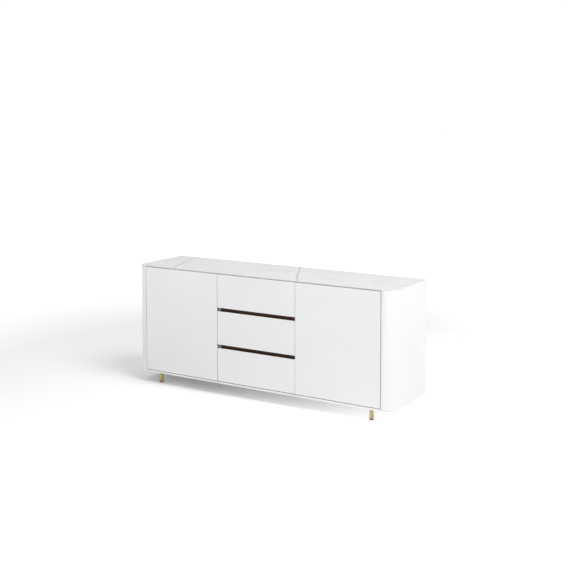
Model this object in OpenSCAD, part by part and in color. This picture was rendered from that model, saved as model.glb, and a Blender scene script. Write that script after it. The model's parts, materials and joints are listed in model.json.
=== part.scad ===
// Low sideboard with two doors, three drawers, a stone top and rounded front corners.
// Millimetres. X runs along the width, Y from the fronts (negative) to the back, Z up from the floor.
// An inner carcass box carries all fittings; curved outer shells, a base board and the top clad it.

/* [Overall] */
// Width over the outer shells
width = 1800; // [1600:10:2200]
// Depth from the front faces to the back
depth = 450; // [430:5:500]
// Height from the floor to the top face
height = 750; // [700:5:850]
// Height of the legs with their pads
leg_h = 70; // [60:1:100]
// Radius of the two vertical front corners
corner_r = 65; // [55:1:80]

/* [Outer panels] */
// Thickness of the stone top
stone_t = 6; // [5:1:12]
// Thickness of the base board
base_t = 12; // [10:1:18]
// Thickness of the curved side shells
shell_t = 18; // [15:1:20]
// Thickness of the door and drawer fronts
front_t = 20; // [19:1:20]
// Gap round the outside of the fronts
reveal = 3; // [3:0.5:5]
// Gap between two neighbouring fronts
seam = 2; // [2:0.5:4]
// Height of the finger grooves between the drawer fronts
groove_h = 22; // [18:0.5:26]

/* [Carcass] */
// Thickness of the carcass top and bottom
board_t = 18; // [16:1:20]
// Thickness of inner sides, dividers and shelves
side_t = 16; // [15:1:18]
// Thickness of the back panel
back_t = 8; // [6:1:10]
// Distance from the front faces to the edges of sides and dividers
carcass_setback = 22; // [22:0.5:24]
// Distance from the front faces to the edges of carcass top and bottom
panel_setback = 36; // [36:1:38]

/* [Drawers] */
// Length of the drawer sides and of the runners
drawer_l = 350; // [300:10:380]
// Height of the drawer sides
drawer_side_h = 140; // [110:5:150]
// Thickness of drawer sides and backs
drawer_t = 12; // [12:1:15]
// Thickness of the drawer bottoms
drawer_bottom_t = 6; // [4:1:8]
// Width that one runner takes between a divider and a drawer side
runner_gap = 12.5; // [12.5:0.1:13.5]

/* [Legs] */
// Diameter of the legs
leg_d = 24; // [20:1:32]
// Diameter of the foot pads
pad_d = 22; // [16:1:24]
// Height of the foot pads
pad_h = 6; // [4:1:10]
// Distance from the end of the body to the axis of a leg
leg_inset_x = 147; // [100:1:180]
// Distance from the front or back face to the axis of a leg
leg_inset_y = 47; // [45:1:60]

/* [Hidden] */
$fn = 64;
past = 1;                   // how far a cutter runs past a face
SIDES = [["left", -1], ["right", 1]];
ROWS = [["lower", 0], ["centre", 1], ["upper", 2]];
LEG_ROWS = [["front", -1], ["rear", 1]];
DRAWER_PIECES = ["front", "side_left", "side_right", "back", "bottom"];

front = -depth / 2;
back = depth / 2;
carcass_front = front + carcass_setback;
panel_front = front + panel_setback;
rear = back - back_t;
base_top = leg_h + base_t;
slab_bottom = height - stone_t;
floor_top = base_top + board_t;
ceiling = slab_bottom - board_t;
fronts_z0 = base_top + reveal;
fronts_z1 = slab_bottom - reveal;

// Fronts across the width: door, drawers, door
shell_lip = 2;              // flat stretch of a shell between its corner and its front edge
shell_edge = width / 2 - corner_r - shell_lip;
door_out = shell_edge - reveal;
front_w = (2 * door_out - 2 * seam) / 3;
door_in = front_w / 2 + seam;
divider_x = front_w / 2 + seam / 2;
bay_in = divider_x + side_t / 2;
bay_out = shell_edge;
drawer_bay = divider_x - side_t / 2;

// Drawers and their runners
drawer_h = (fronts_z1 - fronts_z0 - 2 * groove_h) / 3;
drawer_pitch = drawer_h + groove_h;
grip_lip = 2.5;             // thickness of a front at the edge of a finger groove
box_lift = 24;              // bottom of the drawer sides above the bottom of the front
box_out = drawer_bay - runner_gap;
box_in = box_out - drawer_t;
box_y0 = front + front_t;
box_y1 = box_y0 + drawer_l;
bottom_lift = 10;           // drawer bottom above the bottom of the sides
bottom_let_in = 6;
runner_lift = 60;           // runner axis above the bottom of the drawer sides
runner_y0 = carcass_front + 2;
sheet = 1.5;                // runner steel
runner_screw_inset = 50;
runner_screw_ys = [runner_y0 + runner_screw_inset, runner_y0 + drawer_l - runner_screw_inset];
// Runner members: [web, edge of the lips, half height], the first two measured from the divider
CABINET_MEMBER = [0, 10.5, 22.5];
MIDDLE_MEMBER = [3, 10, 18.5];
DRAWER_MEMBER = [runner_gap - sheet, 5.5, 14.5];

// Grip rails behind the grooves
rail_setback = 30;
rail_t = 2;
rail_half_h = 30;

// Adjustable shelves
shelf_z = (floor_top + ceiling - side_t) / 2;
shelf_clear = 1;
shelf_setback = 55;
shelf_front = front + shelf_setback;
shelf_back = rear - 5;
pin_r = 2.5;
pin_in = 8;
pin_out = 10;
collar_r = 4;
collar_t = 0.8;
pin_inset = 50;
pin_ys = [shelf_front + pin_inset, shelf_back - pin_inset];
pin_pitch = 32;

// Hinges, in door coordinates: u inwards from the door's outer edge, v back from its face
hinge_inset = 90;           // from the top or bottom edge of the door
hinge_zs = [fronts_z0 + hinge_inset, fronts_z1 - hinge_inset];
axis_u = 22;
axis_v = 10;
hinge_pin_r = 1.5;
running_gap = 0.05;
cup_r = 17.5;
cup_u = 22.5;
cup_floor_v = 5.5;
cup_wall = 1.2;
cup_floor_t = 1;
flange_t = 1.2;
flange_lip = 2;
wing_margin = 6;            // flange beyond the dowel axes
dowel_r = 4;
dowel_l = 11;
dowel_z = 22.5;
knuckle_r = 3.2;
arm_t = 4;
arm_half_w = 6.5;
cheek_in = 7;
cheek_out = 9.5;
arm_reach = 20;             // the arm leaves the pin at 45 degrees and goes this far inwards and back
arm_rear_u = 5;
arm_cross_v = 41;
arm_end_v = 92;
arm_path = [[axis_u, axis_v], [axis_u + arm_reach, axis_v + arm_reach], [axis_u + arm_reach, arm_cross_v],
            [arm_rear_u, arm_cross_v], [arm_rear_u, arm_end_v]];
plate_t = 2;
plate_v = 66;               // middle of the plate's screwed wings
plate_screw_z = 16;

// Touch latches on the dividers
latch_z = 696;
latch_w = 12;
latch_h = 14;
latch_y0 = carcass_front + 3;
latch_l = 80;
plunger_r = 4;
plunger_l = 55;
plunger_gap = 0.2;

// Screws: [shank radius, head radius, head height, length]
CARCASS_SCREW = [3, 5, 4, 50];
FITTING_SCREW = [1.75, 3.4, 1.4, 12];
BACK_SCREW = [1.75, 3.5, 2, 30];
carcass_screw_inset = 70;
carcass_screw_ys = [panel_front + carcass_screw_inset, rear - carcass_screw_inset];
back_screw_pitch = 140;     // along the carcass top and bottom
back_screws_each_side = 5;

leg_x = width / 2 - leg_inset_x;
leg_y = depth / 2 - leg_inset_y;
leg_bolt_r = 4;
leg_bolt_in_leg = 25;
leg_bolt_cover = 4;         // board left above the bolt
leg_bolt_z0 = leg_h - leg_bolt_in_leg;
leg_bolt_z1 = floor_top - leg_bolt_cover;

stone = [0.9, 0.89, 0.88];
lacquer = [0.93, 0.93, 0.94];
melamine = [0.87, 0.87, 0.88];
raw_board = [0.72, 0.6, 0.45];
brown = [0.2, 0.14, 0.1];
brass = [0.75, 0.65, 0.42];
steel = [0.7, 0.71, 0.73];
dark_plastic = [0.3, 0.27, 0.25];
white_plastic = [0.88, 0.88, 0.87];

NODES = concat(
    ["stone_top", "top_panel", "bottom_panel", "base_board", "back_panel", "spacer_battens",
     "grip_rail_lower", "grip_rail_upper", "shelf_pins", "hinge_arms", "hinge_pins", "hinge_plates",
     "latch_housings", "foot_pads", "leg_bolts", "runner_cabinet_members", "fitting_screws",
     "carcass_screws", "back_screws", "bumpers"],
    [for (s = SIDES, part = ["side_shell", "inner_side", "divider", "shelf", "door", "hinge_cups",
                             "latch_plunger"]) str(part, "_", s[0])],
    [for (r = LEG_ROWS, s = SIDES) str("leg_", r[0], "_", s[0])],
    [for (row = ROWS, piece = DRAWER_PIECES) str("drawer_", row[0], "_", piece)],
    [for (row = ROWS, part = ["runner_drawer_members", "runner_middle_members"]) str(part, "_", row[0])]
);
node = "all";

// ---------- Shared shapes ----------

// A box between two corners
module board(low, high) {
    translate(low) cube(high - low);
}

// Children on the given side, built for the right
module on_side(sign) {
    if (sign < 0) mirror([1, 0, 0]) children();
    else children();
}

// Children on both sides
module both_sides() {
    children();
    mirror([1, 0, 0]) children();
}

// Plan outline with quarter-round front corners; an inset outline runs past the back
module outline(inset = 0) {
    cx = width / 2 - corner_r;
    cy = front + corner_r;
    translate([inset - width / 2, cy]) square([width - 2 * inset, depth - corner_r + inset]);
    translate([-cx, front + inset]) square([2 * cx, corner_r]);
    for (x = [-cx, cx]) translate([x, cy]) circle(r = corner_r - inset);
}

// A screw driven down into the plane z = 0, its countersunk head flush with it
module screw(size) {
    translate([0, 0, -size[2]]) cylinder(h = size[2], r1 = size[0], r2 = size[1]);
    translate([0, 0, -size[3]]) cylinder(h = size[3], r = size[0]);
}

// Bottom edge of a drawer front
function front_z(row) = fronts_z0 + row * drawer_pitch;

// Bottom edge of the sides of a drawer
function box_z(row) = front_z(row) + box_lift;

// Height of a runner's axis
function runner_z(row) = box_z(row) + runner_lift;

// ---------- Fasteners, also used to cut their own holes ----------

module carcass_screws() {
    color(steel) both_sides() for (y = carcass_screw_ys) {
        for (z = [base_top, ceiling])
            translate([bay_out + side_t, y, z + board_t / 2]) rotate([0, 90, 0]) screw(CARCASS_SCREW);
        translate([divider_x, y, slab_bottom]) screw(CARCASS_SCREW);
        translate([divider_x, y, base_top]) mirror([0, 0, 1]) screw(CARCASS_SCREW);
    }
}

module back_screw_at(x, z) {
    translate([x, back, z]) rotate([-90, 0, 0]) screw(BACK_SCREW);
}

// Rows along the carcass top and bottom, and three screws up each side and divider
module back_screws() {
    color(steel) {
        for (i = [-back_screws_each_side : back_screws_each_side], z = [base_top, ceiling])
            back_screw_at(i * back_screw_pitch, z + board_t / 2);
        both_sides() for (x = [divider_x, bay_out + side_t / 2], quarter = [1 : 3])
            back_screw_at(x, floor_top + quarter * (ceiling - floor_top) / 4);
    }
}

// Screws of the cabinet's runner members and of the hinge plates
module fitting_screws() {
    color(steel) both_sides() {
        for (row = ROWS, y = runner_screw_ys)
            translate([drawer_bay - sheet, y, runner_z(row[1])]) rotate([0, -90, 0])
                screw(FITTING_SCREW);
        for (z = hinge_zs, dz = [-plate_screw_z, plate_screw_z])
            translate([bay_out - plate_t, front + plate_v, z + dz]) rotate([0, -90, 0])
                screw(FITTING_SCREW);
    }
}

module leg_bolts() {
    color(steel) both_sides() for (y = [-leg_y, leg_y])
        translate([leg_x, y, leg_bolt_z0]) cylinder(h = leg_bolt_z1 - leg_bolt_z0, r = leg_bolt_r);
}

// ---------- Outer panels ----------

module stone_top() {
    color(stone) translate([0, 0, slab_bottom]) linear_extrude(stone_t) outline();
}

module base_board() {
    color(lacquer) difference() {
        translate([0, 0, leg_h]) linear_extrude(base_t) outline();
        leg_bolts();
    }
}

// Outer side with the rounded front corner, wrapped round to its front edge
module side_shell() {
    color(lacquer) translate([0, 0, base_top]) linear_extrude(slab_bottom - base_top) difference() {
        outline();
        outline(shell_t);
        translate([-width, -depth]) square([width + shell_edge, 2 * depth]);
    }
}

module back_panel() {
    reach = width / 2 - shell_t;
    color(melamine) difference() {
        board([-reach, rear, base_top], [reach, back, slab_bottom]);
        back_screws();
    }
}

// Blocks that hold each shell off its inner side
module spacer_battens() {
    batten_w = 40;
    arc_gap = 5;
    shell_inside = width / 2 - shell_t;
    foremost = front + corner_r + arc_gap;
    color(raw_board) both_sides() for (y = [foremost, 0, rear - batten_w])
        board([bay_out + side_t, y, base_top], [shell_inside, y + batten_w, slab_bottom]);
}

// ---------- Carcass ----------

module top_panel() {
    color(melamine) difference() {
        board([-bay_out, panel_front, ceiling], [bay_out, rear, slab_bottom]);
        carcass_screws();
        back_screws();
    }
}

module bottom_panel() {
    color(melamine) difference() {
        board([-bay_out, panel_front, base_top], [bay_out, rear, floor_top]);
        carcass_screws();
        back_screws();
        leg_bolts();
    }
}

// Bores for shelf pins, drilled from the plane x = 0 towards -X
module pin_bores() {
    for (y = pin_ys, step = [-1, 0, 1])
        translate([-pin_in - 1, y, shelf_z - pin_r + step * pin_pitch]) rotate([0, 90, 0])
            cylinder(h = pin_in + 1 + past, r = pin_r);
}

module inner_side() {
    color(melamine) difference() {
        board([bay_out, carcass_front, base_top], [bay_out + side_t, rear, slab_bottom]);
        translate([bay_out, 0, 0]) mirror([1, 0, 0]) pin_bores();
        fitting_screws();
        carcass_screws();
        back_screws();
    }
}

module divider() {
    color(melamine) difference() {
        board([drawer_bay, carcass_front, floor_top], [bay_in, rear, ceiling]);
        translate([bay_in, 0, 0]) pin_bores();
        fitting_screws();
        carcass_screws();
        back_screws();
    }
}

module shelf() {
    color(melamine) board([bay_in + shelf_clear, shelf_front, shelf_z],
                          [bay_out - shelf_clear, shelf_back, shelf_z + side_t]);
}

// A pin that leaves the plane x = 0 towards +X
module shelf_pin() {
    rotate([0, 90, 0]) {
        translate([0, 0, -pin_in]) cylinder(h = pin_in + pin_out, r = pin_r);
        cylinder(h = collar_t, r = collar_r);
    }
}

module shelf_pins() {
    color(steel) both_sides() for (y = pin_ys) {
        translate([bay_in, y, shelf_z - pin_r]) shelf_pin();
        translate([bay_out, y, shelf_z - pin_r]) mirror([1, 0, 0]) shelf_pin();
    }
}

// Channel behind a finger groove, open to the front
module grip_rail(groove) {
    mid = front_z(groove) + drawer_h + groove_h / 2;
    y1 = front + rail_setback + rail_t;
    color(brown) difference() {
        board([-drawer_bay, carcass_front, mid - rail_half_h], [drawer_bay, y1, mid + rail_half_h]);
        board([-drawer_bay - past, carcass_front - past, mid - rail_half_h + rail_t],
              [drawer_bay + past, y1 - rail_t, mid + rail_half_h - rail_t]);
    }
}

// Soft dots on the divider edges that the fronts close against
module bumpers() {
    dot_r = 3;
    dot_t = 1.8;
    door_dot_inset = 30;
    door_dot_x = (bay_in + door_in) / 2;
    drawer_dot_x = (drawer_bay + front_w / 2) / 2;
    places = concat([for (z = [fronts_z0 + door_dot_inset, fronts_z1 - door_dot_inset]) [door_dot_x, z]],
                    [for (row = ROWS) [drawer_dot_x, runner_z(row[1])]]);
    color(white_plastic) both_sides() for (p = places)
        translate([p[0], carcass_front, p[1]]) rotate([90, 0, 0]) cylinder(h = dot_t, r = dot_r);
}

// ---------- Doors and hinges ----------

// Children drawn in door coordinates, placed at both hinges of the right door
module at_hinges() {
    for (z = hinge_zs) translate([door_out, front, z]) mirror([1, 0, 0]) children();
}

// Upright cylinder on the hinge axis between two heights
module on_axis(z0, z1, r) {
    translate([axis_u, axis_v, z0]) cylinder(h = z1 - z0, r = r);
}

// Round bar along the depth between two values of v
module along_v(u, v0, v1, z, r) {
    translate([u, v1, z]) rotate([90, 0, 0]) cylinder(h = v1 - v0, r = r);
}

module door() {
    color(lacquer) difference() {
        board([door_in, front, fronts_z0], [door_out, front + front_t, fronts_z1]);
        at_hinges() {
            along_v(cup_u, cup_floor_v, front_t + past, 0, cup_r);
            for (z = [-dowel_z, dowel_z])
                along_v(cup_u, front_t - dowel_l, front_t + past, z, dowel_r);
        }
    }
}

// Cup with its flange, two dowels and the two cheeks that turn on the pin
module hinge_cup() {
    wing_w = 16;
    wing_z = dowel_z + wing_margin;
    cheek_half = 4;
    inside_v = cup_floor_v + cup_floor_t;
    difference() {
        union() {
            along_v(cup_u, cup_floor_v, front_t, 0, cup_r);
            along_v(cup_u, front_t, front_t + flange_t, 0, cup_r + flange_lip);
            board([cup_u - wing_w / 2, front_t, -wing_z], [cup_u + wing_w / 2, front_t + flange_t, wing_z]);
        }
        along_v(cup_u, inside_v, front_t + flange_t + past, 0, cup_r - cup_wall);
    }
    for (z = [-dowel_z, dowel_z]) along_v(cup_u, front_t - dowel_l, front_t, z, dowel_r);
    for (z = [-cheek_out, cheek_in]) difference() {
        board([axis_u - cheek_half, inside_v, z],
              [axis_u + cheek_half, axis_v + cheek_half, z + cheek_out - cheek_in]);
        on_axis(z - past, z + cheek_out, hinge_pin_r + running_gap);
    }
}

module hinge_cups() {
    color(steel) at_hinges() hinge_cup();
}

// Flat bar that follows a path in plan, with round corners
module bar_path(path, t) {
    for (i = [1 : len(path) - 1]) {
        run = path[i] - path[i - 1];
        translate(path[i - 1]) rotate(atan2(run[1], run[0])) translate([0, -t / 2]) square([norm(run), t]);
        translate(path[i - 1]) circle(r = t / 2);
    }
}

// Gooseneck arm from the pin, behind the swing of the door's edge, to the mounting plate
module hinge_arms() {
    color(steel) both_sides() at_hinges() difference() {
        union() {
            translate([0, 0, -arm_half_w]) linear_extrude(2 * arm_half_w) bar_path(arm_path, arm_t);
            on_axis(-arm_half_w, arm_half_w, knuckle_r);
        }
        on_axis(-arm_half_w - past, arm_half_w + past, hinge_pin_r);
    }
}

module hinge_pins() {
    color(steel) both_sides() at_hinges() on_axis(-cheek_out, cheek_out, hinge_pin_r);
}

// Cross-shaped plates screwed to the inner sides, each with a raised block that carries the arm
module hinge_plates() {
    block_t = reveal + arm_rear_u - arm_t / 2;
    block_half_w = 8;
    wing_half_w = 9;
    wing_z = 24;
    block_v = arm_cross_v + 6;
    color(steel) difference() {
        both_sides() at_hinges() translate([-reveal, 0, 0]) {
            board([0, plate_v - wing_half_w, -wing_z], [plate_t, plate_v + wing_half_w, wing_z]);
            board([0, block_v, -block_half_w], [block_t, arm_end_v, block_half_w]);
        }
        fitting_screws();
    }
}

// ---------- Touch latches ----------

// Round bar on the axis of the right latch between two values of y
module latch_bar(y0, y1, r) {
    translate([bay_in + latch_w / 2, y1, latch_z]) rotate([90, 0, 0]) cylinder(h = y1 - y0, r = r);
}

module latch_housings() {
    wall = 8;
    color(dark_plastic) both_sides() difference() {
        board([bay_in, latch_y0, latch_z - latch_h / 2],
              [bay_in + latch_w, latch_y0 + latch_l, latch_z + latch_h / 2]);
        latch_bar(latch_y0 - past, latch_y0 + latch_l - wall, plunger_r + running_gap);
    }
}

module latch_plunger() {
    tip = front + front_t + plunger_gap;
    color(white_plastic) latch_bar(tip, tip + plunger_l, plunger_r);
}

// ---------- Drawers and runners ----------

// Wedge that bevels the back of a front along its edge z, so that fingers can hook behind the lip;
// up is 1 where the front is above the edge and -1 where it is below
module finger_bevel(z, up) {
    reach = front_t - grip_lip + past;
    translate([-width / 2, front + grip_lip, z]) rotate([90, 0, 90]) linear_extrude(width)
        polygon([[0, -up * past], [0, 0], [reach, up * reach], [reach, -up * past]]);
}

module drawer_front(row) {
    z0 = front_z(row);
    z1 = z0 + drawer_h;
    color(lacquer) difference() {
        board([-front_w / 2, front, z0], [front_w / 2, front + front_t, z1]);
        if (row > 0) finger_bevel(z0, 1);
        if (row < len(ROWS) - 1) finger_bevel(z1, -1);
    }
}

module drawer_bottom(row) {
    reach = box_in + bottom_let_in;
    rear_edge = box_y1 - drawer_t + bottom_let_in;
    z = box_z(row) + bottom_lift;
    color(melamine) board([-reach, box_y0, z], [reach, rear_edge, z + drawer_bottom_t]);
}

module drawer_side(row) {
    color(melamine) difference() {
        board([box_in, box_y0, box_z(row)], [box_out, box_y1, box_z(row) + drawer_side_h]);
        drawer_bottom(row);
    }
}

module drawer_back(row) {
    color(melamine) difference() {
        board([-box_in, box_y1 - drawer_t, box_z(row)], [box_in, box_y1, box_z(row) + drawer_side_h]);
        drawer_bottom(row);
    }
}

// Channel of one member of the right runner in a row: its web and two lips
module runner_member(row, member) {
    web_x = member[0];
    lip_x = member[1];
    half_h = member[2];
    z = runner_z(row);
    y1 = runner_y0 + drawer_l;
    translate([drawer_bay, 0, 0]) mirror([1, 0, 0]) {
        board([web_x, runner_y0, z - half_h], [web_x + sheet, y1, z + half_h]);
        for (lip_z = [z - half_h, z + half_h - sheet])
            board([min(web_x, lip_x), runner_y0, lip_z], [max(web_x + sheet, lip_x), y1, lip_z + sheet]);
    }
}

module runner_cabinet_members() {
    color(steel) difference() {
        both_sides() for (row = ROWS) runner_member(row[1], CABINET_MEMBER);
        fitting_screws();
    }
}

module runner_middle_members(row) {
    color(steel) both_sides() runner_member(row, MIDDLE_MEMBER);
}

module runner_drawer_members(row) {
    color(steel) both_sides() runner_member(row, DRAWER_MEMBER);
}

// ---------- Legs ----------

module leg(row) {
    chamfer = 1;
    r = leg_d / 2;
    color(brass) translate([leg_x, row * leg_y, 0]) difference() {
        union() {
            translate([0, 0, pad_h]) cylinder(h = chamfer, r1 = r - chamfer, r2 = r);
            translate([0, 0, pad_h + chamfer]) cylinder(h = leg_h - pad_h - chamfer, r = r);
        }
        translate([0, 0, leg_bolt_z0]) cylinder(h = leg_h, r = leg_bolt_r);
    }
}

module foot_pads() {
    color(dark_plastic) both_sides() for (y = [-leg_y, leg_y])
        translate([leg_x, y, 0]) cylinder(h = pad_h, d = pad_d);
}

// ---------- Nodes ----------

function shown(name) = node == "all" || node == name;

if (shown("stone_top")) stone_top();
if (shown("top_panel")) top_panel();
if (shown("bottom_panel")) bottom_panel();
if (shown("base_board")) base_board();
if (shown("back_panel")) back_panel();
if (shown("spacer_battens")) spacer_battens();
if (shown("grip_rail_lower")) grip_rail(0);
if (shown("grip_rail_upper")) grip_rail(1);
if (shown("shelf_pins")) shelf_pins();
if (shown("hinge_arms")) hinge_arms();
if (shown("hinge_pins")) hinge_pins();
if (shown("hinge_plates")) hinge_plates();
if (shown("latch_housings")) latch_housings();
if (shown("foot_pads")) foot_pads();
if (shown("leg_bolts")) leg_bolts();
if (shown("runner_cabinet_members")) runner_cabinet_members();
if (shown("fitting_screws")) fitting_screws();
if (shown("carcass_screws")) carcass_screws();
if (shown("back_screws")) back_screws();
if (shown("bumpers")) bumpers();
for (s = SIDES) {
    if (shown(str("side_shell_", s[0]))) on_side(s[1]) side_shell();
    if (shown(str("inner_side_", s[0]))) on_side(s[1]) inner_side();
    if (shown(str("divider_", s[0]))) on_side(s[1]) divider();
    if (shown(str("shelf_", s[0]))) on_side(s[1]) shelf();
    if (shown(str("door_", s[0]))) on_side(s[1]) door();
    if (shown(str("hinge_cups_", s[0]))) on_side(s[1]) hinge_cups();
    if (shown(str("latch_plunger_", s[0]))) on_side(s[1]) latch_plunger();
    for (r = LEG_ROWS)
        if (shown(str("leg_", r[0], "_", s[0]))) on_side(s[1]) leg(r[1]);
}
for (row = ROWS) {
    name = str("drawer_", row[0]);
    if (shown(str(name, "_front"))) drawer_front(row[1]);
    if (shown(str(name, "_back"))) drawer_back(row[1]);
    if (shown(str(name, "_bottom"))) drawer_bottom(row[1]);
    for (s = SIDES)
        if (shown(str(name, "_side_", s[0]))) on_side(s[1]) drawer_side(row[1]);
    if (shown(str("runner_drawer_members_", row[0]))) runner_drawer_members(row[1]);
    if (shown(str("runner_middle_members_", row[0]))) runner_middle_members(row[1]);
}
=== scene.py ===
import json
import math

import bmesh
import bpy
from mathutils import Matrix, Vector


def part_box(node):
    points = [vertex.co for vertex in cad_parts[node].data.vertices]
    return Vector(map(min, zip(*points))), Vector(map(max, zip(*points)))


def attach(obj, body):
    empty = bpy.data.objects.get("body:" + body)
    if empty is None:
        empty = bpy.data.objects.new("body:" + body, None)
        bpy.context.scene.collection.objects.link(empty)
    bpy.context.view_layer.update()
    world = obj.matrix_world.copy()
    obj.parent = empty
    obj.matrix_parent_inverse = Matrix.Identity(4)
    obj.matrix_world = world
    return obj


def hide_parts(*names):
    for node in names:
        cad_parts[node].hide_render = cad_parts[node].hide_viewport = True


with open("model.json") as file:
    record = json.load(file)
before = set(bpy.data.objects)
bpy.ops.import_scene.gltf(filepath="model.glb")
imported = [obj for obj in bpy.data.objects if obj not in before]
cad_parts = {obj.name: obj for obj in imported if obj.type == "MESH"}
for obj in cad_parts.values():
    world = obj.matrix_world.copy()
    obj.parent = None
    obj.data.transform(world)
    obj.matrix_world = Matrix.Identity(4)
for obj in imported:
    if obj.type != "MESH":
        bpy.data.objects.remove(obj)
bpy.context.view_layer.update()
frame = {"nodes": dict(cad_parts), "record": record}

MM = 0.001
NODES = frame["nodes"]
BODY_OF = {node: body for body, nodes in frame["record"]["behaviour"]["bodies"].items() for node in nodes}
SIGN = {"left": -1, "right": 1}
ROWS = ("lower", "centre", "upper")
LEGS = [f"leg_{row}_{side}" for row in ("front", "rear") for side in SIGN]

SLAB_LOW, SLAB_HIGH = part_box("stone_top")
HALF_W = SLAB_HIGH.x
FRONT = SLAB_LOW.y
BACK = SLAB_HIGH.y
CORNER_R = 65 * MM
SHELL_T = 18 * MM


# ---------- Node trees ----------

def rgb(red, green, blue):
    return (red, green, blue, 1.0)


def scaled(tint, factor):
    return rgb(*(part * factor for part in tint))


class Look:
    """One procedural material, with short calls for the nodes that it needs."""

    def __init__(self, name, **fixed):
        self.material = bpy.data.materials.new(name)
        self.material.use_nodes = True
        self.tree = self.material.node_tree
        self.surface = self.tree.nodes["Principled BSDF"]
        for socket, value in fixed.items():
            self.surface.inputs[socket.replace("_", " ")].default_value = value
        self.place = self.node("TexCoord").outputs["Object"]

    def node(self, kind, inputs=None, **settings):
        made = self.tree.nodes.new("ShaderNode" + kind)
        for name, value in settings.items():
            setattr(made, name, value)
        for socket, value in (inputs or {}).items():
            self.set(made.inputs[socket], value)
        return made

    def set(self, socket, value):
        if isinstance(value, bpy.types.NodeSocket):
            self.tree.links.new(value, socket)
        else:
            socket.default_value = value

    def calc(self, operation, a, b=0.0):
        return self.node("Math", {0: a, 1: b}, operation=operation).outputs[0]

    def vector(self, operation, a, b=(0.0, 0.0, 0.0)):
        return self.node("VectorMath", {0: a, 1: b}, operation=operation).outputs

    def axis(self, letter):
        return self.node("SeparateXYZ", {0: self.place}).outputs["XYZ".index(letter)]

    def noise(self, scale, detail=2.0, roughness=0.5, stretch=None, distortion=0.0):
        place = self.vector("MULTIPLY", self.place, stretch)["Vector"] if stretch else self.place
        inputs = {"Vector": place, "Scale": scale, "Detail": detail, "Roughness": roughness,
                  "Distortion": distortion}
        return self.node("TexNoise", inputs).outputs[0]

    def fit(self, value, low, high, to_low=0.0, to_high=1.0):
        """value from low..high to to_low..to_high, held at the ends."""
        return self.node("MapRange", {0: value, 1: low, 2: high, 3: to_low, 4: to_high}).outputs[0]

    def mix(self, share, a, b):
        inputs = {0: share, 6: a, 7: b}
        return self.node("Mix", inputs, data_type="RGBA").outputs[2]

    def colour(self, value):
        self.set(self.surface.inputs["Base Color"], value)

    def roughness(self, value):
        self.set(self.surface.inputs["Roughness"], value)

    def bump(self, height, depth, strength=1.0):
        """Bumps of that depth in metres; a second call adds to the first."""
        normal = self.surface.inputs["Normal"]
        inputs = {"Height": height, "Distance": depth, "Strength": strength}
        if normal.is_linked:
            inputs["Normal"] = normal.links[0].from_socket
        self.set(normal, self.node("Bump", inputs).outputs[0])


# ---------- Materials ----------

def lacquer():
    """Satin white lacquer: faint clouding, specks, orange peel, and darker patches low down."""
    look = Look("lacquer", Coat_Weight=0.12, Coat_Roughness=0.18, Specular_IOR_Level=0.42)
    clouds = look.noise(1.7, detail=3.0)
    colour = look.mix(look.fit(clouds, 0.3, 0.7), rgb(0.725, 0.725, 0.735), rgb(0.745, 0.745, 0.757))
    specks = look.fit(look.noise(420.0, detail=1.0), 0.74, 0.8, 0.0, 0.35)
    colour = look.mix(specks, colour, rgb(0.70, 0.695, 0.69))
    # Darker patches only from 70 to 95 mm above the floor, strongest at the bottom.
    darker_low_patches = look.calc("MULTIPLY", look.fit(look.noise(70.0, detail=5.0, roughness=0.65), 0.55, 0.75),
                       look.fit(look.axis("Z"), 0.070, 0.095, 0.12, 0.0))
    look.colour(look.mix(darker_low_patches, colour, rgb(0.52, 0.51, 0.49)))
    look.roughness(look.fit(look.noise(9.0, detail=4.0), 0.3, 0.7, 0.36, 0.44))
    look.bump(look.noise(260.0, detail=2.0), 0.03 * MM)
    look.bump(look.noise(3.0, detail=1.0), 0.4 * MM, 0.15)
    return look.material


class Vein:
    """A vein in the stone from one point of the top to another, in metres."""

    def __init__(self, start, end, half_width, wander, shade, strength):
        self.start = Vector((*start, 0.0))
        self.run = Vector((*end, 0.0)) - self.start
        self.half_width = half_width
        self.wander = wander
        self.shade = shade
        self.strength = strength

    def mask(self, look, slow, quick):
        """1 on the vein and 0 off it; the two noises bend it and break it up."""
        along = self.run.normalized()
        across = Vector((-along.y, along.x, 0.0))
        spot = look.vector("SUBTRACT", look.place, self.start)["Vector"]
        length = look.vector("DOT_PRODUCT", spot, along)["Value"]
        offset = look.vector("DOT_PRODUCT", spot, across)["Value"]
        bend = look.calc("MULTIPLY", look.calc("SUBTRACT", slow, 0.5), self.wander)
        tremble = look.calc("MULTIPLY", look.calc("SUBTRACT", quick, 0.5), self.wander * 0.16)
        distance = look.calc("ABSOLUTE", look.calc("ADD", offset, look.calc("ADD", bend, tremble)))
        mask = look.fit(distance, self.half_width * 0.3, self.half_width, self.strength, 0.0)
        for share in (look.fit(length, -0.04, 0.0),
                      look.fit(length, self.run.length, self.run.length + 0.04, 1.0, 0.0),
                      look.fit(quick, 0.3, 0.6, 0.55, 1.0)):
            mask = look.calc("MULTIPLY", mask, share)
        return mask


GREY_VEIN = rgb(0.30, 0.30, 0.29)
PALE_VEIN = rgb(0.50, 0.49, 0.47)
RED_VEIN = rgb(0.38, 0.23, 0.20)
VEINS = (
    Vein((-0.60, -0.25), (-0.80, 0.24), 0.0042, 0.012, GREY_VEIN, 1.0),
    Vein((-0.55, -0.24), (-0.77, 0.24), 0.0030, 0.016, PALE_VEIN, 0.55),
    Vein((-0.55, -0.155), (0.13, 0.085), 0.0048, 0.045, PALE_VEIN, 0.70),
    Vein((0.13, 0.085), (0.56, 0.19), 0.0040, 0.040, PALE_VEIN, 0.70),
    Vein((0.34, -0.088), (0.92, -0.035), 0.0046, 0.045, PALE_VEIN, 0.75),
    Vein((0.03, 0.24), (0.30, -0.25), 0.0050, 0.060, RED_VEIN, 0.90),
    Vein((0.60, 0.24), (0.80, -0.24), 0.0026, 0.055, PALE_VEIN, 0.35),
)


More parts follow.
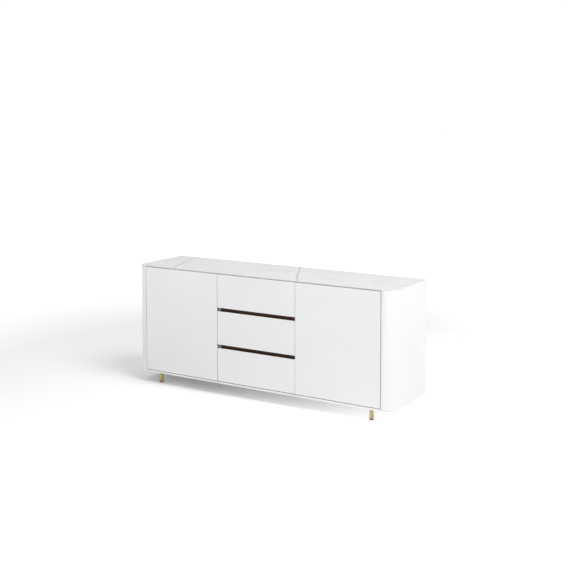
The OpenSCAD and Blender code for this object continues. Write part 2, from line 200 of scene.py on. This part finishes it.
def stone():
    """White sintered stone with hair-thin threads, and grey and red-brown veins."""
    look = Look("stone", Specular_IOR_Level=0.45)
    clouds = look.fit(look.noise(2.2, detail=5.0, roughness=0.6, distortion=0.6), 0.3, 0.7)
    colour = look.mix(clouds, rgb(0.765, 0.765, 0.762), rgb(0.825, 0.823, 0.818))
    threads = look.calc("ABSOLUTE", look.calc("SUBTRACT", look.noise(3.4, detail=6.0, distortion=1.4), 0.5))
    colour = look.mix(look.fit(threads, 0.0, 0.012, 0.14, 0.0), colour, PALE_VEIN)
    slow = look.noise(7.0, detail=3.0, roughness=0.6)
    quick = look.noise(34.0, detail=4.0)
    for vein in VEINS:
        colour = look.mix(vein.mask(look, slow, quick), colour, vein.shade)
    grains = look.fit(look.noise(900.0, detail=1.0), 0.35, 0.65, 0.0, 0.05)
    look.colour(look.mix(grains, colour, rgb(0.5, 0.49, 0.48)))
    look.roughness(look.fit(look.noise(30.0, detail=4.0), 0.3, 0.7, 0.34, 0.46))
    look.bump(look.noise(700.0, detail=2.0), 0.03 * MM)
    return look.material


def stone_edge():
    """The slab's cut edge, warmer and greyer than its face."""
    look = Look("stone_edge", Specular_IOR_Level=0.4)
    body = look.fit(look.noise(60.0, detail=5.0, stretch=(1.0, 1.0, 4.0)), 0.3, 0.7)
    colour = look.mix(body, rgb(0.61, 0.575, 0.54), rgb(0.70, 0.67, 0.635))
    specks = look.fit(look.noise(1400.0, detail=1.0), 0.62, 0.72, 0.0, 0.4)
    look.colour(look.mix(specks, colour, rgb(0.45, 0.41, 0.38)))
    look.roughness(look.fit(body, 0.0, 1.0, 0.5, 0.62))
    look.bump(look.noise(1100.0, detail=2.0), 0.04 * MM)
    return look.material


def melamine(name, joint_y=None):
    """Matt white melamine with a pearl texture; joint_y is where the joint of an edge band shows."""
    look = Look(name, Specular_IOR_Level=0.35)
    clouds = look.fit(look.noise(5.0, detail=4.0), 0.3, 0.7)
    colour = look.mix(clouds, rgb(0.68, 0.68, 0.685), rgb(0.72, 0.72, 0.722))
    fibres = look.fit(look.noise(160.0, detail=3.0, stretch=(1.0, 0.12, 1.0)), 0.35, 0.65, 0.0, 0.08)
    colour = look.mix(fibres, colour, rgb(0.6, 0.6, 0.61))
    if joint_y is not None:
        off = look.calc("ABSOLUTE", look.calc("SUBTRACT", look.axis("Y"), joint_y))
        colour = look.mix(look.fit(off, 0.10 * MM, 0.22 * MM, 0.7, 0.0), colour, rgb(0.3, 0.28, 0.26))
    look.colour(colour)
    look.roughness(look.fit(look.noise(45.0, detail=3.0), 0.3, 0.7, 0.48, 0.6))
    look.bump(look.noise(1500.0, detail=2.0), 0.04 * MM)
    return look.material


def painted_shade_edges():
    """Matt taupe painted shade, with a faint grain along Z, for the fronts' narrow sides and the base's
    upper face: it darkens the gaps between them.
    """
    look = Look("painted_shade_edges", Specular_IOR_Level=0.3)
    grain = look.noise(500.0, detail=4.0, stretch=(1.0, 1.0, 0.04))
    look.colour(look.mix(look.fit(grain, 0.3, 0.7), rgb(0.38, 0.345, 0.325), rgb(0.46, 0.42, 0.395)))
    look.roughness(look.fit(grain, 0.3, 0.7, 0.5, 0.65))
    look.bump(grain, 0.03 * MM)
    return look.material


def fibreboard():
    """Raw fibreboard: brown, flecked with light and dark fibres."""
    look = Look("fibreboard")
    flecks = look.noise(350.0, detail=5.0, roughness=0.7)
    look.colour(look.mix(look.fit(flecks, 0.35, 0.65), rgb(0.24, 0.15, 0.085), rgb(0.46, 0.33, 0.21)))
    look.roughness(look.fit(flecks, 0.3, 0.7, 0.75, 0.9))
    look.bump(flecks, 0.2 * MM)
    return look.material


def brown_metal():
    """Matt dark brown coating on a brushed rail, slightly dusty; the brushing runs along X."""
    look = Look("brown_metal", Metallic=0.35, Specular_IOR_Level=0.35)
    brushing = look.noise(900.0, detail=3.0, stretch=(0.006, 1.0, 1.0))
    colour = look.mix(look.fit(brushing, 0.3, 0.7), rgb(0.058, 0.024, 0.013), rgb(0.098, 0.045, 0.027))
    dust = look.fit(look.noise(40.0, detail=5.0), 0.55, 0.75, 0.0, 0.12)
    look.colour(look.mix(dust, colour, rgb(0.12, 0.09, 0.07)))
    look.roughness(look.fit(brushing, 0.3, 0.7, 0.42, 0.58))
    look.bump(brushing, 0.03 * MM)
    return look.material


def brass():
    """Turned and brushed brass, a little tarnished, and darker towards the foot."""
    look = Look("brass", Metallic=1.0, Coat_Weight=0.15, Coat_Roughness=0.3)
    rings = look.noise(1600.0, detail=2.0, stretch=(0.02, 0.02, 1.0))
    tone = look.fit(look.noise(35.0, detail=4.0), 0.35, 0.7)
    colour = look.mix(tone, rgb(0.43, 0.345, 0.155), rgb(0.50, 0.405, 0.19))
    colour = look.mix(look.fit(rings, 0.35, 0.65, 0.0, 0.2), colour, rgb(0.34, 0.26, 0.115))
    # Darker from 20 mm above the floor down to the foot.
    foot = look.fit(look.axis("Z"), 0.006, 0.020, 0.25, 0.0)
    look.colour(look.mix(foot, colour, rgb(0.27, 0.20, 0.09)))
    look.roughness(look.fit(rings, 0.3, 0.7, 0.34, 0.5))
    look.bump(rings, 0.02 * MM)
    return look.material


def plated_steel(name, tint, rough, marked):
    """Zinc or nickel plating; marked is how strongly its rolling marks along Y and small stains show."""
    look = Look(name, Metallic=1.0)
    marks = look.noise(1200.0, detail=2.0, stretch=(1.0, 0.03, 1.0))
    stains = look.fit(look.noise(90.0, detail=5.0, roughness=0.65), 0.5, 0.75, 0.0, 0.35 * marked)
    colour = look.mix(look.fit(marks, 0.3, 0.7), scaled(tint, 1.0), scaled(tint, 1.0 - 0.1 * marked))
    look.colour(look.mix(stains, colour, scaled(tint, 0.72)))
    look.roughness(look.fit(marks, 0.3, 0.7, rough, rough + 0.14 * marked))
    look.bump(marks, 0.01 * MM * marked)
    return look.material


def moulded(name, tint, rough=0.5):
    """Moulded plastic with a fine spark-eroded grain."""
    look = Look(name, Specular_IOR_Level=0.4)
    flow = look.fit(look.noise(70.0, detail=3.0), 0.3, 0.7)
    look.colour(look.mix(flow, scaled(tint, 0.9), scaled(tint, 1.0)))
    look.roughness(look.fit(look.noise(800.0, detail=2.0), 0.3, 0.7, rough - 0.06, rough + 0.08))
    look.bump(look.noise(2600.0, detail=1.0), 0.05 * MM)
    return look.material


def floor_paint():
    """Pale floor that glows a little, as painted light: more to the right and under the sideboard, which
    lightens the shadows there, and far out.
    """
    look = Look("floor_paint", Specular_IOR_Level=0.1, Emission_Color=rgb(1.0, 1.0, 1.0))
    tone = look.fit(look.noise(0.8, detail=2.0), 0.3, 0.7)
    look.colour(look.mix(tone, rgb(0.93, 0.93, 0.93), rgb(0.95, 0.95, 0.95)))
    look.roughness(look.fit(tone, 0.0, 1.0, 0.75, 0.85))
    # Painted light: the floor glows more towards the right, the side that the lamps light from.
    painted_light_to_right = look.fit(look.axis("X"), -0.4, 0.9, 0.015, 0.18)
    far_out = look.fit(look.vector("LENGTH", look.place)["Value"], 2.2, 4.5, 0.0, 0.5)
    # Painted light: a glow under the sideboard, strongest under its right end, lightens the shadow there.
    below = look.calc("SUBTRACT", look.calc("ADD", look.fit(look.axis("X"), -1.0, 0.2, 0.015, 0.09),
                                            look.fit(look.axis("X"), 0.2, 0.8, 0.0, 0.15)),
                      look.fit(look.axis("X"), 0.88, 1.0, 0.0, 0.20))
    below = look.calc("MULTIPLY", below,
                      look.fit(look.calc("ABSOLUTE", look.axis("Y")), 0.15, 0.6, 1.0, 0.0))
    glow = look.calc("ADD", look.calc("ADD", painted_light_to_right, far_out), below)
    look.set(look.surface.inputs["Emission Strength"], glow)
    return look.material


LACQUER = lacquer()
STONE = stone()
STONE_EDGE = stone_edge()
PLAIN_BOARD = melamine("melamine")
PAINTED_SHADE_BAND = painted_shade_edges()
RAW_BOARD = fibreboard()
BROWN = brown_metal()
BRASS = brass()
ZINC = plated_steel("zinc", (0.58, 0.59, 0.61), 0.28, marked=1.0)
NICKEL = plated_steel("nickel", (0.74, 0.72, 0.69), 0.24, marked=0.3)
PAD_PLASTIC = moulded("pad_plastic", (0.055, 0.036, 0.028))
GREY_PLASTIC = moulded("grey_plastic", (0.20, 0.20, 0.205))
WHITE_PLASTIC = moulded("white_plastic", (0.66, 0.66, 0.65), 0.4)
SOFT_PLASTIC = moulded("soft_plastic", (0.55, 0.55, 0.54), 0.3)


# ---------- Mesh helpers ----------

def arc(centre, radius, start, stop, steps=28):
    """Points on an arc in a plane, angles in degrees."""
    turns = [math.radians(start + (stop - start) * i / steps) for i in range(steps + 1)]
    return [(centre[0] + radius * math.cos(a), centre[1] + radius * math.sin(a)) for a in turns]


def body_outline():
    """Plan of the body: square at the back, quarter rounds in front."""
    x = HALF_W - CORNER_R
    y = FRONT + CORNER_R
    rounds = arc((-x, y), CORNER_R, 180, 270) + arc((x, y), CORNER_R, 270, 360)
    return rounds + [(HALF_W, BACK), (-HALF_W, BACK)]


def add_loop(bm, points, z):
    return [bm.verts.new((x, y, z)) for x, y in points]


def bridge(bm, lower, upper):
    """Faces between two loops with equally many points."""
    for i in range(len(lower)):
        j = (i + 1) % len(lower)
        bm.faces.new((lower[i], lower[j], upper[j], upper[i]))


def prism(points, z0, z1):
    """A solid with that plan between two heights."""
    bm = bmesh.new()
    lower = add_loop(bm, points, z0)
    upper = add_loop(bm, points, z1)
    bm.faces.new(lower[::-1])
    bm.faces.new(upper)
    bridge(bm, lower, upper)
    bmesh.ops.recalc_face_normals(bm, faces=bm.faces)
    return bm


def circle(radius, steps):
    return arc((0, 0), radius, 0, 360 - 360 / steps, steps - 1)


def turned(bm, profile, steps=72, open_top=False):
    """Adds a turned solid: profile is (radius, height) from foot to top. Returns its top loop."""
    loops = [add_loop(bm, circle(radius, steps), height) for radius, height in profile]
    for lower, upper in zip(loops, loops[1:]):
        bridge(bm, lower, upper)
    bm.faces.new(loops[0][::-1])
    if not open_top:
        bm.faces.new(loops[-1])
    return loops[-1]


def place_new(bm, count, matrix):
    """Moves all the vertices after the first count ones."""
    bm.verts.ensure_lookup_table()
    bmesh.ops.transform(bm, matrix=matrix, verts=bm.verts[count:])


def rod_profile(radius, low, high, ease, steps=5):
    """A rod with rounded rims."""
    turns = [math.pi / 2 * i / steps for i in range(steps + 1)]
    foot = [(radius - ease + ease * math.sin(a), low + ease - ease * math.cos(a)) for a in turns]
    top = [(radius - ease + ease * math.cos(a), high - ease + ease * math.sin(a)) for a in turns]
    return foot + top


def new_piece(name, bm, *materials, ease=0.0):
    """An object from a bmesh; ease rounds its sharp edges by that much."""
    mesh = bpy.data.meshes.new(name)
    bm.to_mesh(mesh)
    bm.free()
    for material in materials:
        mesh.materials.append(material)
    mesh.shade_smooth()
    piece = bpy.data.objects.new(name, mesh)
    bpy.context.scene.collection.objects.link(piece)
    if ease:
        rounding = piece.modifiers.new("rounding", "BEVEL")
        rounding.width = ease
        rounding.segments = 3
        rounding.limit_method = "ANGLE"
        rounding.angle_limit = math.radians(40)
        piece.modifiers.new("flat_faces", "WEIGHTED_NORMAL")
    else:
        mesh.set_sharp_from_angle(angle=math.radians(35))
    return piece


def stand_for(piece, node):
    """piece moves with the node's body and hides the node."""
    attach(piece, BODY_OF[node])
    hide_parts(node)


def cad_copy(node):
    """The node's mesh with its flat faces whole."""
    bm = bmesh.new()
    bm.from_mesh(NODES[node].data)
    bmesh.ops.remove_doubles(bm, verts=bm.verts, dist=0.002 * MM)
    bmesh.ops.dissolve_limit(bm, angle_limit=math.radians(0.5), verts=bm.verts, edges=bm.edges)
    bm.normal_update()
    return bm


def finished(node, material, ease):
    """The node's own shape with clean faces and rounded edges."""
    stand_for(new_piece(node + "_finished", cad_copy(node), material, ease=ease), node)


def repaint(node, material):
    """Keeps a CAD node as it is and gives it a procedural material."""
    mesh = NODES[node].data
    mesh.materials.clear()
    mesh.materials.append(material)


# ---------- Outer panels ----------

def build_top():
    bm = prism(body_outline(), SLAB_LOW.z, SLAB_HIGH.z)
    for face in bm.faces:
        face.material_index = 0 if abs(face.normal.z) > 0.5 else 1
    stand_for(new_piece("stone_slab", bm, STONE, STONE_EDGE, ease=0.7 * MM), "stone_top")


def lacquer_with_painted_shade(node, bm, is_painted_shade, ease):
    """The node in lacquer, with taupe painted shade on the faces whose normals the given test picks."""
    for face in bm.faces:
        face.material_index = int(is_painted_shade(face.normal))
    piece = new_piece(node + "_finished", bm, LACQUER, PAINTED_SHADE_BAND, ease=ease)
    piece.modifiers["rounding"].material = 0
    stand_for(piece, node)


def build_base():
    low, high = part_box("base_board")
    bm = prism(body_outline(), low.z, high.z)
    # The upper face, seen only through the gap under the fronts, is painted shade in taupe.
    lacquer_with_painted_shade("base_board", bm, lambda normal: normal.z > 0.5, 1.6 * MM)


def build_shell(side):
    """Outer side that wraps round its front corner to a flat front edge."""
    node = "side_shell_" + side
    low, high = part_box(node)
    edge_x = min(abs(low.x), abs(high.x))
    centre = (HALF_W - CORNER_R, FRONT + CORNER_R)
    outer = arc(centre, CORNER_R, 270, 360)
    inner = arc(centre, CORNER_R - SHELL_T, 360, 270)
    points = [(edge_x, FRONT), *outer, (HALF_W, BACK), (HALF_W - SHELL_T, BACK), *inner,
              (edge_x, FRONT + SHELL_T)]
    bm = prism([(SIGN[side] * x, y) for x, y in points], low.z, high.z)
    stand_for(new_piece(node + "_finished", bm, LACQUER, ease=1.0 * MM), node)


def build_rail(node):
    """Grip rail: a channel with a rounded hollow, open to the front."""
    low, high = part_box(node)
    wall = 2 * MM
    hollow_r = 6 * MM
    web_y = high.y - wall
    lower = arc((web_y - hollow_r, low.z + wall + hollow_r), hollow_r, 270, 360, 8)
    upper = arc((web_y - hollow_r, high.z - wall - hollow_r), hollow_r, 0, 90, 8)
    section = [(low.y, low.z), (high.y, low.z), (high.y, high.z), (low.y, high.z),
               (low.y, high.z - wall), *upper[::-1], *lower[::-1], (low.y, low.z + wall)]
    bm = prism(section, low.x, high.x)
    bm.transform(Matrix(((0, 0, 1), (1, 0, 0), (0, 1, 0))).to_4x4())
    stand_for(new_piece(node + "_finished", bm, BROWN, ease=0.3 * MM), node)


# ---------- Boards ----------

def build_carcass():
    band_t = 0.9 * MM
    groups = (("inner_side_left", "inner_side_right", "divider_left", "divider_right"),
              ("top_panel", "bottom_panel"), ("shelf_left", "shelf_right"))
    for group in groups:
        board = melamine("banded_" + group[0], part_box(group[0])[0].y + band_t)
        for node in group:
            finished(node, board, 0.4 * MM)
    finished("back_panel", PLAIN_BOARD, 0.4 * MM)
    finished("spacer_battens", RAW_BOARD, 0.4 * MM)


def build_fronts():
    for node in ("door_left", "door_right", *(f"drawer_{row}_front" for row in ROWS)):
        # The fronts' narrow sides are painted shade in taupe, so that the gaps between them look darker.
        lacquer_with_painted_shade(node, cad_copy(node), lambda normal: abs(normal.y) < 0.5, 1.0 * MM)


def build_drawer_boxes():
    for row in ROWS:
        for part in ("side_left", "side_right", "back", "bottom"):
            finished(f"drawer_{row}_{part}", PLAIN_BOARD, 0.5 * MM)


# ---------- Legs ----------

def leg_axis(node):
    """Where a leg stands on the floor, as a matrix."""
    low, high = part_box(node)
    return Matrix.Translation(((low.x + high.x) / 2, (low.y + high.y) / 2, 0))


def build_legs():
    for node in LEGS:
        low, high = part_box(node)
        bm = bmesh.new()
        turned(bm, rod_profile((high.x - low.x) / 2, low.z, high.z, 0.9 * MM), steps=96)
        bm.transform(leg_axis(node))
        stand_for(new_piece(node + "_turned", bm, BRASS), node)


def build_pads():
    low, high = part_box("foot_pads")
    radius = high.x - leg_axis("leg_front_right").translation.x
    bm = bmesh.new()
    for node in LEGS:
        count = len(bm.verts)
        turned(bm, rod_profile(radius, low.z, high.z, 1.2 * MM))
        place_new(bm, count, leg_axis(node))
    stand_for(new_piece("foot_pads_finished", bm, PAD_PLASTIC), "foot_pads")


# ---------- Screws ----------

def cross_outline(reach, half_w):
    """Plan of a cross recess."""
    quarter = [(reach, -half_w), (reach, half_w), (half_w, half_w)]
    turns = [Matrix.Rotation(math.pi / 2 * i, 2) for i in range(4)]
    return [tuple(turn @ Vector(point)) for turn in turns for point in quarter]


def add_screw(bm, place, head_r, length, proud=0.0):
    """Adds a screw along -Z of place, with a cross recess: sunk flush, or with a head that stands proud."""
    shank_r = 1.75 * MM
    shank = [(0.3 * MM, -length), (shank_r, 3 * shank_r - length), (shank_r, shank_r - head_r)]
    sunk = [(head_r, -0.2 * MM), (head_r - 0.1 * MM, 0)]
    button = [(head_r, 0), (head_r, 0.5 * proud), (0.8 * head_r, proud)]
    count = len(bm.verts)
    top = turned(bm, shank + (button if proud else sunk), steps=32, open_top=True)
    cross = cross_outline(0.58 * head_r, 0.14 * head_r)
    mouth = add_loop(bm, cross, proud)
    pit = add_loop(bm, [(0.6 * x, 0.6 * y) for x, y in cross], proud - 0.35 * head_r)
    bridge(bm, pit, mouth)
    bm.faces.new(pit)
    rims = [bm.edges.get((loop[i - 1], loop[i])) for loop in (top, mouth) for i in range(len(loop))]
    bmesh.ops.triangle_fill(bm, use_beauty=True, edges=rims)
    place_new(bm, count, place)


def connected(start):
    """All vertices joined to one by edges."""
    found = {start}
    waiting = [start]
    while waiting:
        for edge in waiting.pop().link_edges:
            for vert in edge.verts:
                if vert not in found:
                    found.add(vert)
                    waiting.append(vert)
    return found


def solid_boxes(node):
    """(centre, half size) of each separate solid in a node."""
    bm = cad_copy(node)
    seen = set()
    boxes = []
    for start in bm.verts:
        if start in seen:
            continue
        solid = connected(start)
        seen.update(solid)
        low = Vector([min(vert.co[i] for vert in solid) for i in range(3)])
        high = Vector([max(vert.co[i] for vert in solid) for i in range(3)])
        boxes.append(((low + high) / 2, (high - low) / 2))
    bm.free()
    return boxes


def facing(point, outward):
    """Matrix that carries +Z to outward and the origin to point."""
    return Matrix.Translation(point) @ outward.to_track_quat("Z", "Y").to_matrix().to_4x4()


def build_screws(node, outward_at):
    """A screw for each one in the node; outward_at gives the way that the head at a place faces."""
    bm = bmesh.new()
    for centre, half in solid_boxes(node):
        outward = outward_at(centre)
        length = 2 * abs(half.dot(outward))
        add_screw(bm, facing(centre + outward * length / 2, outward), half.z, length)
    bmesh.ops.recalc_face_normals(bm, faces=bm.faces)
    stand_for(new_piece(node + "_driven", bm, ZINC), node)


def to_back(place):
    return Vector((0, 1, 0))


def to_middle(place):
    return Vector((-math.copysign(1, place.x), 0, 0))


# ---------- Fittings ----------

def build_fittings():
    for side in SIGN:
        finished("hinge_cups_" + side, NICKEL, 0.25 * MM)
        finished("latch_plunger_" + side, WHITE_PLASTIC, 0.5 * MM)
    for row in ROWS:
        finished("runner_middle_members_" + row, ZINC, 0.35 * MM)
        finished("runner_drawer_members_" + row, ZINC, 0.35 * MM)
    finished("runner_cabinet_members", ZINC, 0.35 * MM)
    finished("hinge_arms", NICKEL, 0.8 * MM)
    finished("hinge_plates", NICKEL, 0.4 * MM)
    finished("latch_housings", GREY_PLASTIC, 0.8 * MM)
    finished("shelf_pins", NICKEL, 0.2 * MM)
    finished("bumpers", SOFT_PLASTIC, 0.5 * MM)
    repaint("hinge_pins", NICKEL)
    for node in ("carcass_screws", "leg_bolts"):
        repaint(node, ZINC)


def add_extra(name, bm, material, node):
    """A detail that no CAD node stands for; it moves with node."""
    bmesh.ops.recalc_face_normals(bm, faces=bm.faces)
    piece = new_piece(name, bm, material)
    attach(piece, BODY_OF[node])


def build_hinge_screws(side):
    """Two screws in the flange of each cup and two in each arm."""
    flange_reach = 22.5 * MM
    flange_head_r = 3.2 * MM
    arm_t = 4 * MM
    arm_reach = 13 * MM
    arm_head_r = 3 * MM
    length = 8 * MM
    low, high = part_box("hinge_cups_" + side)
    inward = Vector((-SIGN[side], 0, 0))
    in_flange = bmesh.new()
    in_arm = bmesh.new()
    for centre, half in solid_boxes("hinge_plates"):
        if centre.dot(inward) > 0:
            continue
        arm_face = centre + inward * (half.x + arm_t)
        for way in (-1, 1):
            spot = Vector(((low.x + high.x) / 2, high.y, centre.z + way * flange_reach))
            add_screw(in_flange, facing(spot, Vector((0, 1, 0))), flange_head_r, length, proud=1.2 * MM)
            spot = arm_face + Vector((0, way * arm_reach, 0))
            add_screw(in_arm, facing(spot, inward), arm_head_r, length, proud=1.1 * MM)
    add_extra("flange_screws_" + side, in_flange, NICKEL, "hinge_cups_" + side)
    add_extra("arm_screws_" + side, in_arm, NICKEL, "hinge_arms")


def build_ball_cages(row):
    """Bearing balls in strips, on both faces of the lips of the middle members."""
    node = "runner_middle_members_" + row
    low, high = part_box(node)
    ball_r = 1.2 * MM
    pitch = 18 * MM
    end_gap = 6 * MM
    strip_w = 4 * MM
    strip_t = 0.5 * MM
    x_inset = 4 * MM
    # How far the strips lie beyond a lip's outer face, and within it
    above = 1.25 * MM
    below = 2.75 * MM
    centre = (low + high) / 2
    reach = high.y - centre.y - end_gap
    balls = int(reach / pitch)
    strip = (strip_w, 2 * reach, strip_t, 1)
    x = high.x - x_inset
    lip = high.z - centre.z
    bm = bmesh.new()
    for way in SIGN.values():
        for rise in (lip + above, lip - below, below - lip, -above - lip):
            middle = Vector((way * x, centre.y, centre.z + rise))
            bmesh.ops.create_cube(bm, size=1, matrix=Matrix.Translation(middle) @ Matrix.Diagonal(strip))
            for i in range(-balls, balls + 1):
                spot = Matrix.Translation(middle + Vector((0, i * pitch, 0)))
                bmesh.ops.create_icosphere(bm, subdivisions=2, radius=ball_r, matrix=spot)
    add_extra("ball_cages_" + row, bm, ZINC, node)


# ---------- Floor, light and camera ----------

# The camera stands in front and to the right, in metres and degrees
CAMERA_AT = (3.306, -5.117, 1.745)
CAMERA_DOWN = 4.0
CAMERA_LEFT = 31.27
# Soft lights hang this far from a point in the middle of the sideboard
LIGHT_REACH = 7.0
LIGHT_AIM = Vector((0, 0, 0.4))
FLOOR_REACH = 60
# The sky's brightness as a share of SKY_LIGHT, against the sine of the elevation; it is 1 overhead
SKY_LIGHT = 1.3
SKY_STOPS = ((0.0, 0.78), (0.15, 0.78), (0.28, 0.14), (0.70, 0.22))


def build_stage():
    """A seamless white floor. Its paint glows faintly, so that the shadows stay pale."""
    bm = bmesh.new()
    bmesh.ops.create_grid(bm, x_segments=8, y_segments=8, size=FLOOR_REACH)
    new_piece("floor", bm, floor_paint())


def build_sky():
    """Soft light from all round: white at the horizon, dim above it, brightest overhead."""
    world = bpy.data.worlds.new("studio")
    world.use_nodes = True
    bpy.context.scene.world = world
    tree = world.node_tree
    place = tree.nodes.new("ShaderNodeTexCoord")
    split = tree.nodes.new("ShaderNodeSeparateXYZ")
    shades = tree.nodes.new("ShaderNodeValToRGB")
    stops = shades.color_ramp.elements
    stops.remove(stops[0])
    for position, level in SKY_STOPS:
        stops.new(position).color = rgb(level, level, level)
    background = tree.nodes["Background"]
    background.inputs["Strength"].default_value = SKY_LIGHT
    tree.links.new(place.outputs["Generated"], split.inputs[0])
    tree.links.new(split.outputs["Z"], shades.inputs[0])
    tree.links.new(shades.outputs[0], background.inputs["Color"])


def soft_box(name, direction, size, watts):
    """A round soft light that faces the middle of the sideboard."""
    box = bpy.data.lights.new(name, "AREA")
    box.shape = "DISK"
    box.size = size
    box.energy = watts
    lamp = bpy.data.objects.new(name, box)
    towards = Vector(direction).normalized()
    lamp.location = LIGHT_AIM + towards * LIGHT_REACH
    lamp.rotation_euler = towards.to_track_quat("Z", "Y").to_euler()
    bpy.context.scene.collection.objects.link(lamp)


def build_camera():
    """A view from the front right, with the frame shifted down to the sideboard."""
    lens = bpy.data.cameras.new("camera")
    lens.sensor_width = 36.0
    lens.lens = 63.8
    lens.shift_x = -0.0334
    lens.shift_y = -0.1869
    lens.clip_end = 200
    camera = bpy.data.objects.new("camera", lens)
    camera.location = CAMERA_AT
    camera.rotation_euler = (math.radians(90 - CAMERA_DOWN), 0, math.radians(CAMERA_LEFT))
    bpy.context.scene.collection.objects.link(camera)
    bpy.context.scene.camera = camera


build_top()
build_base()
for side in SIGN:
    build_shell(side)
for node in ("grip_rail_lower", "grip_rail_upper"):
    build_rail(node)
build_carcass()
build_fronts()
build_drawer_boxes()
build_legs()
build_pads()
build_fittings()
build_screws("back_screws", to_back)
build_screws("fitting_screws", to_middle)
for side in SIGN:
    build_hinge_screws(side)
for row in ROWS:
    build_ball_cages(row)

build_stage()
build_sky()
soft_box("key", (0.48, -0.14, 0.68), size=4.2, watts=270)
soft_box("low_key", (0.94, -0.20, 0.26), size=1.4, watts=12)
soft_box("fill", (-0.20, -0.80, 0.60), size=5.0, watts=92)
build_camera()
bpy.context.scene.view_settings.view_transform = "Standard"
